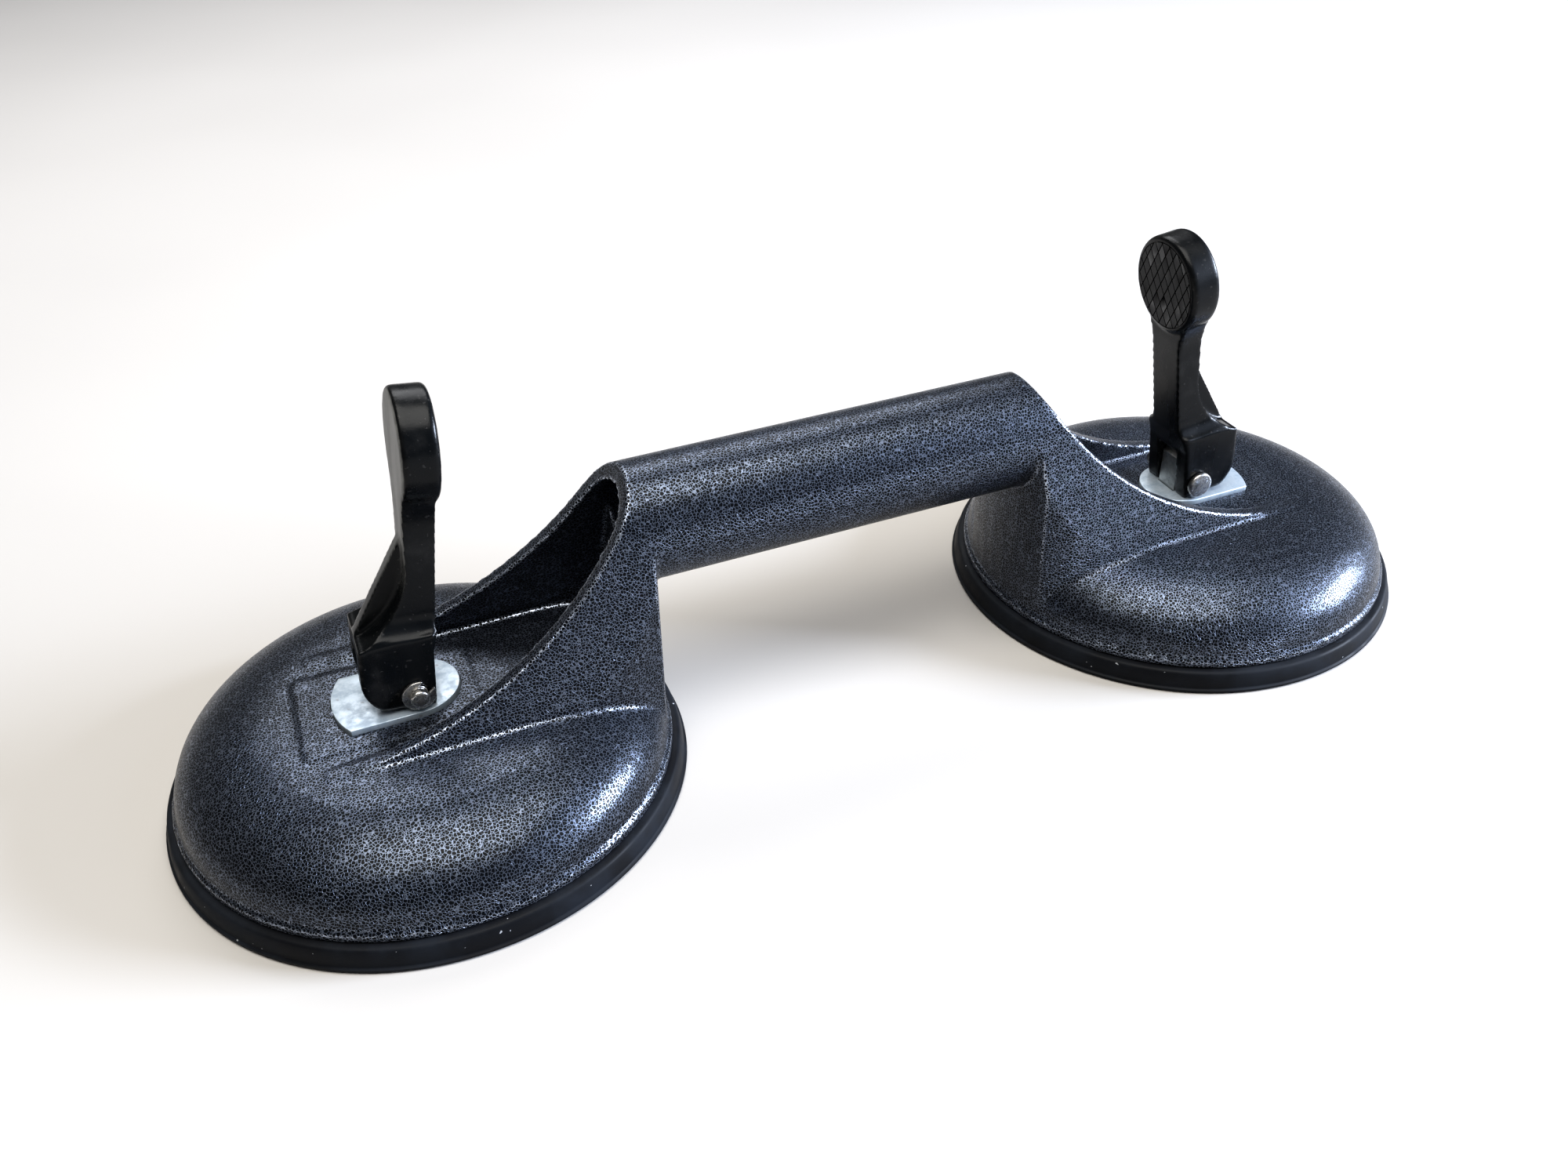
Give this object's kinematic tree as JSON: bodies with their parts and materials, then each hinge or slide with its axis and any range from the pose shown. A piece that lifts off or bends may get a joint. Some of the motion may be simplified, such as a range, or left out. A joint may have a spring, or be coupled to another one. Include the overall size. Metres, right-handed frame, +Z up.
{
  "type": "vacuum suction cup lifter",
  "caption": "Twin suction-cup lifter: a cast tube handle joins two domed discs over rubber pads, and a cam lever on each disc pulls its pad up to grip smooth sheet",
  "frame": {"origin": "on the glass, midway between the two cups", "axes": "+X along the handle from the left cup to the right cup, +Z up from the glass, Y across"},
  "size_m": [0.3282, 0.12, 0.0982],
  "materials": {
    "hammer_paint": "hammertone paint on cast aluminium, gloss",
    "lever_plastic": "moulded, semi-gloss",
    "pad_rubber": "matt",
    "zinc_plate": "bright zinc plated",
    "stud_steel": "plain, dull",
    "pin_steel": "bright turned",
    "spring_steel": "plain"
  },
  "bodies": {
    "root": {"handle_body": "hammer_paint", "left_glide_plate": "zinc_plate", "left_rubber_pad": "pad_rubber", "left_return_spring": "spring_steel", "left_spring_washer": "zinc_plate", "right_glide_plate": "zinc_plate", "right_rubber_pad": "pad_rubber", "right_return_spring": "spring_steel", "right_spring_washer": "zinc_plate"},
    "left_lift_body": {"left_stud": "stud_steel", "left_pad_insert": "stud_steel", "left_lever_pin": "pin_steel", "left_pin_clip": "spring_steel"},
    "left_lever_body": {"left_lever": "lever_plastic"},
    "right_lift_body": {"right_stud": "stud_steel", "right_pad_insert": "stud_steel", "right_lever_pin": "pin_steel", "right_pin_clip": "spring_steel"},
    "right_lever_body": {"right_lever": "lever_plastic"}
  },
  "joints": [
    {"name": "left_pad_lift", "type": "slide", "parent": "root", "child": "left_lift_body", "axis": [0, 0, 1], "range_m": [0, 0.008], "deforming": ["left_rubber_pad", "left_return_spring"]},
    {"name": "left_lever_turn", "type": "hinge", "parent": "left_lift_body", "child": "left_lever_body", "pos_m": [-0.1041, 0, 0.0295], "axis": [0, -1, 0], "range_deg": [0, 97]},
    {"name": "right_pad_lift", "type": "slide", "parent": "root", "child": "right_lift_body", "axis": [0, 0, 1], "range_m": [0, 0.008], "deforming": ["right_rubber_pad", "right_return_spring"]},
    {"name": "right_lever_turn", "type": "hinge", "parent": "right_lift_body", "child": "right_lever_body", "pos_m": [0.1041, 0, 0.0295], "axis": [0, 1, 0], "range_deg": [0, 97]}
  ],
  "couplings": [
    {"joint": "left_pad_lift", "follows": "left_lever_turn", "m_per_rad": 0.0047254},
    {"joint": "right_pad_lift", "follows": "right_lever_turn", "m_per_rad": 0.0047254}
  ]
}
